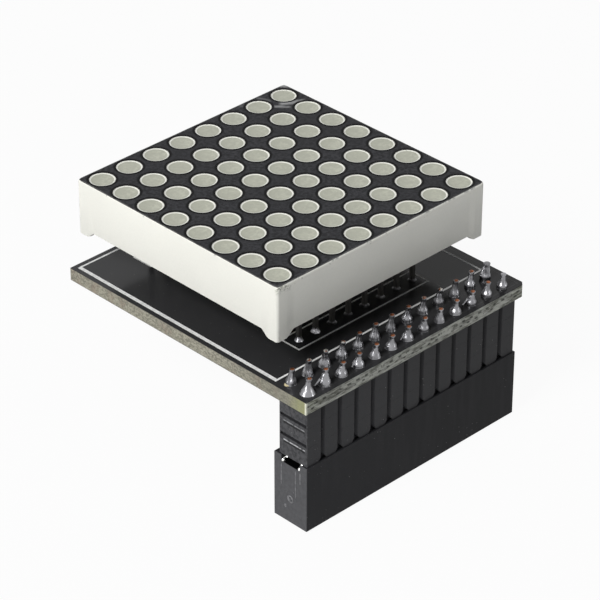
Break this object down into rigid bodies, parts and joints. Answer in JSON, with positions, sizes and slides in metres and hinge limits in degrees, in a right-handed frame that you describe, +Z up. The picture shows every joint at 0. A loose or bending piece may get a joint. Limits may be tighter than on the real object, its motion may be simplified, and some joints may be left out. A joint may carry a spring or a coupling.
{
  "type": "led dot matrix module",
  "caption": "LED dot matrix module: a square display with round cells stands on pins over a small carrier board, which plugs in by a two-row socket on ribbed spacers at its front edge.",
  "frame": {"origin": "centre of the socket's mating face, between its two rows of wells", "axes": "+Z up, away from the mating face, so the display looks along +Z; +X along the socket; +Y from the socket towards the back of the display"},
  "size_m": [0.0345, 0.0381, 0.0287],
  "materials": {
    "case_plastic": "smooth, semi-matt, with a charcoal printed face",
    "cell_resin": "cloudy, semi-matt",
    "die_board": "woven glass fibre",
    "back_resin": "poured, slightly uneven",
    "pin_metal": "tinned",
    "solder": "bright, frozen from liquid",
    "board": "glossy solder mask over glass fibre",
    "contact_metal": "tinned, bare where cut",
    "insulator": "moulded, slightly rough",
    "socket_plastic": "moulded, fine grain",
    "chip_plastic": "moulded, fine grain",
    "ceramic": "fired",
    "resistor_body": "glazed"
  },
  "bodies": {
    "root": {"display_case": "case_plastic", "cell_resin": "cell_resin", "die_board": "die_board", "back_resin": "back_resin", "display_pins_front": "pin_metal", "display_pins_back": "pin_metal", "display_solder_front": "solder", "display_solder_back": "solder", "carrier_board": "board", "header_solder_front": "solder", "header_solder_back": "solder", "contacts_front": "contact_metal", "contacts_back": "contact_metal", "spacer_top": "insulator", "spacer_middle": "insulator", "spacer_bottom": "insulator", "socket_housing": "socket_plastic", "driver_chip": "chip_plastic", "driver_leads": "pin_metal", "capacitor": "ceramic", "resistor": "resistor_body"}
  },
  "joints": []
}
